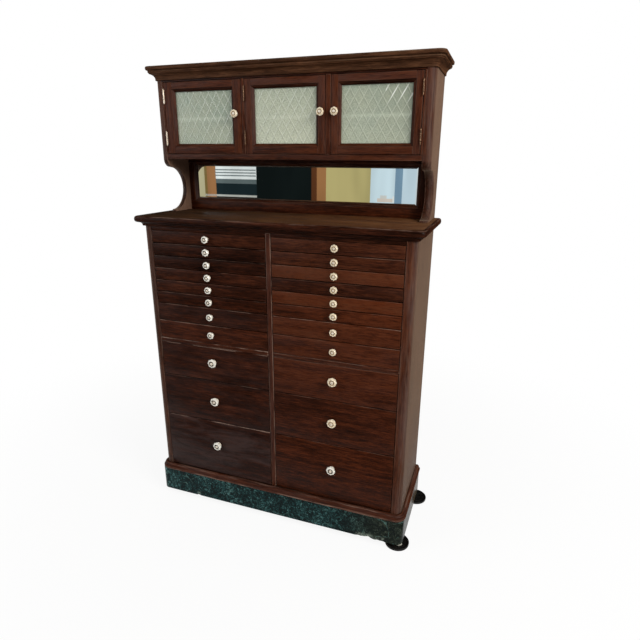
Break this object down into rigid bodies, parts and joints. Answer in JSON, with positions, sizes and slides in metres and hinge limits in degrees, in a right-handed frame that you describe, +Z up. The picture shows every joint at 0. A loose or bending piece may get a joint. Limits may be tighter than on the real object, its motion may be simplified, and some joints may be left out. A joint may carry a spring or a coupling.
{
  "type": "dental cabinet",
  "caption": "Upright wooden dental cabinet: two columns of drawers under a counter, a mirrored niche, and a row of glazed doors under a cornice, on a marble plinth.",
  "frame": {"origin": "centre of the bounding box at floor level", "axes": "+Z up, -Y out of the front, +X to the viewer's right"},
  "size_m": [1.01, 0.357, 1.535],
  "materials": {
    "mahogany": "old dark polish, worn on the edges",
    "inner_wood": "plain, unpolished",
    "green_marble": "polished, veined",
    "obscured_glass": "figured with a raised lattice",
    "pressed_glass": "faceted",
    "mirror_glass": "bevelled edge",
    "brass": "aged",
    "black_cup": "semi-gloss"
  },
  "bodies": {
    "case": {"base_board": "mahogany", "cornice": "mahogany", "counter_top": "mahogany", "foot_front_left": "black_cup", "foot_front_right": "black_cup", "foot_rear_left": "black_cup", "foot_rear_right": "black_cup", "lower_back": "inner_wood", "lower_face_frame": "mahogany", "lower_side_left": "mahogany", "lower_side_right": "mahogany", "mirror": "mirror_glass", "mirror_frame": "mahogany", "partition": "inner_wood", "plinth_frame": "inner_wood", "plinth_marble": "green_marble", "shelf": "inner_wood", "upper_back": "inner_wood", "upper_face_frame": "mahogany", "upper_floor": "inner_wood", "upper_side_left": "mahogany", "upper_side_right": "mahogany", "door_1_hinge_low": "brass", "door_1_hinge_high": "brass", "door_2_hinge_low": "brass", "door_2_hinge_high": "brass", "door_3_hinge_low": "brass", "door_3_hinge_high": "brass"},
    "drawer_left_01": {"drawer_left_01": "mahogany"},
    "drawer_left_02": {"drawer_left_02": "mahogany"},
    "drawer_left_03": {"drawer_left_03": "mahogany"},
    "drawer_left_04": {"drawer_left_04": "mahogany"},
    "drawer_left_05": {"drawer_left_05": "mahogany"},
    "drawer_left_06": {"drawer_left_06": "mahogany"},
    "drawer_left_07": {"drawer_left_07": "mahogany"},
    "drawer_left_08": {"drawer_left_08": "mahogany"},
    "drawer_left_09": {"drawer_left_09": "mahogany"},
    "drawer_left_10": {"drawer_left_10": "mahogany"},
    "drawer_left_11": {"drawer_left_11": "mahogany"},
    "drawer_right_01": {"drawer_right_01": "mahogany"},
    "drawer_right_02": {"drawer_right_02": "mahogany"},
    "drawer_right_03": {"drawer_right_03": "mahogany"},
    "drawer_right_04": {"drawer_right_04": "mahogany"},
    "drawer_right_05": {"drawer_right_05": "mahogany"},
    "drawer_right_06": {"drawer_right_06": "mahogany"},
    "drawer_right_07": {"drawer_right_07": "mahogany"},
    "drawer_right_08": {"drawer_right_08": "mahogany"},
    "drawer_right_09": {"drawer_right_09": "mahogany"},
    "drawer_right_10": {"drawer_right_10": "mahogany"},
    "drawer_right_11": {"drawer_right_11": "mahogany"},
    "door_1": {"door_1_frame": "mahogany", "door_1_pane": "obscured_glass", "door_1_knob": "pressed_glass"},
    "door_2": {"door_2_frame": "mahogany", "door_2_pane": "obscured_glass", "door_2_knob": "pressed_glass"},
    "door_3": {"door_3_frame": "mahogany", "door_3_pane": "obscured_glass", "door_3_knob": "pressed_glass"}
  },
  "joints": [
    {"name": "drawer_left_01_slide", "type": "slide", "parent": "case", "child": "drawer_left_01", "axis": [0, -1, 0], "range_m": [0, 0.2]},
    {"name": "drawer_left_02_slide", "type": "slide", "parent": "case", "child": "drawer_left_02", "axis": [0, -1, 0], "range_m": [0, 0.2]},
    {"name": "drawer_left_03_slide", "type": "slide", "parent": "case", "child": "drawer_left_03", "axis": [0, -1, 0], "range_m": [0, 0.2]},
    {"name": "drawer_left_04_slide", "type": "slide", "parent": "case", "child": "drawer_left_04", "axis": [0, -1, 0], "range_m": [0, 0.2]},
    {"name": "drawer_left_05_slide", "type": "slide", "parent": "case", "child": "drawer_left_05", "axis": [0, -1, 0], "range_m": [0, 0.2]},
    {"name": "drawer_left_06_slide", "type": "slide", "parent": "case", "child": "drawer_left_06", "axis": [0, -1, 0], "range_m": [0, 0.2]},
    {"name": "drawer_left_07_slide", "type": "slide", "parent": "case", "child": "drawer_left_07", "axis": [0, -1, 0], "range_m": [0, 0.2]},
    {"name": "drawer_left_08_slide", "type": "slide", "parent": "case", "child": "drawer_left_08", "axis": [0, -1, 0], "range_m": [0, 0.2]},
    {"name": "drawer_left_09_slide", "type": "slide", "parent": "case", "child": "drawer_left_09", "axis": [0, -1, 0], "range_m": [0, 0.2]},
    {"name": "drawer_left_10_slide", "type": "slide", "parent": "case", "child": "drawer_left_10", "axis": [0, -1, 0], "range_m": [0, 0.2]},
    {"name": "drawer_left_11_slide", "type": "slide", "parent": "case", "child": "drawer_left_11", "axis": [0, -1, 0], "range_m": [0, 0.2]},
    {"name": "drawer_right_01_slide", "type": "slide", "parent": "case", "child": "drawer_right_01", "axis": [0, -1, 0], "range_m": [0, 0.2]},
    {"name": "drawer_right_02_slide", "type": "slide", "parent": "case", "child": "drawer_right_02", "axis": [0, -1, 0], "range_m": [0, 0.2]},
    {"name": "drawer_right_03_slide", "type": "slide", "parent": "case", "child": "drawer_right_03", "axis": [0, -1, 0], "range_m": [0, 0.2]},
    {"name": "drawer_right_04_slide", "type": "slide", "parent": "case", "child": "drawer_right_04", "axis": [0, -1, 0], "range_m": [0, 0.2]},
    {"name": "drawer_right_05_slide", "type": "slide", "parent": "case", "child": "drawer_right_05", "axis": [0, -1, 0], "range_m": [0, 0.2]},
    {"name": "drawer_right_06_slide", "type": "slide", "parent": "case", "child": "drawer_right_06", "axis": [0, -1, 0], "range_m": [0, 0.2]},
    {"name": "drawer_right_07_slide", "type": "slide", "parent": "case", "child": "drawer_right_07", "axis": [0, -1, 0], "range_m": [0, 0.2]},
    {"name": "drawer_right_08_slide", "type": "slide", "parent": "case", "child": "drawer_right_08", "axis": [0, -1, 0], "range_m": [0, 0.2]},
    {"name": "drawer_right_09_slide", "type": "slide", "parent": "case", "child": "drawer_right_09", "axis": [0, -1, 0], "range_m": [0, 0.2]},
    {"name": "drawer_right_10_slide", "type": "slide", "parent": "case", "child": "drawer_right_10", "axis": [0, -1, 0], "range_m": [0, 0.2]},
    {"name": "drawer_right_11_slide", "type": "slide", "parent": "case", "child": "drawer_right_11", "axis": [0, -1, 0], "range_m": [0, 0.2]},
    {"name": "door_1_swing", "type": "hinge", "parent": "case", "child": "door_1", "pos_m": [-0.4236, -0.0295, 1.378], "axis": [0, 0, -1], "range_deg": [0, 105]},
    {"name": "door_2_swing", "type": "hinge", "parent": "case", "child": "door_2", "pos_m": [-0.13038, -0.0295, 1.378], "axis": [0, 0, -1], "range_deg": [0, 105]},
    {"name": "door_3_swing", "type": "hinge", "parent": "case", "child": "door_3", "pos_m": [0.4236, -0.0295, 1.378], "axis": [0, 0, 1], "range_deg": [0, 105]}
  ]
}
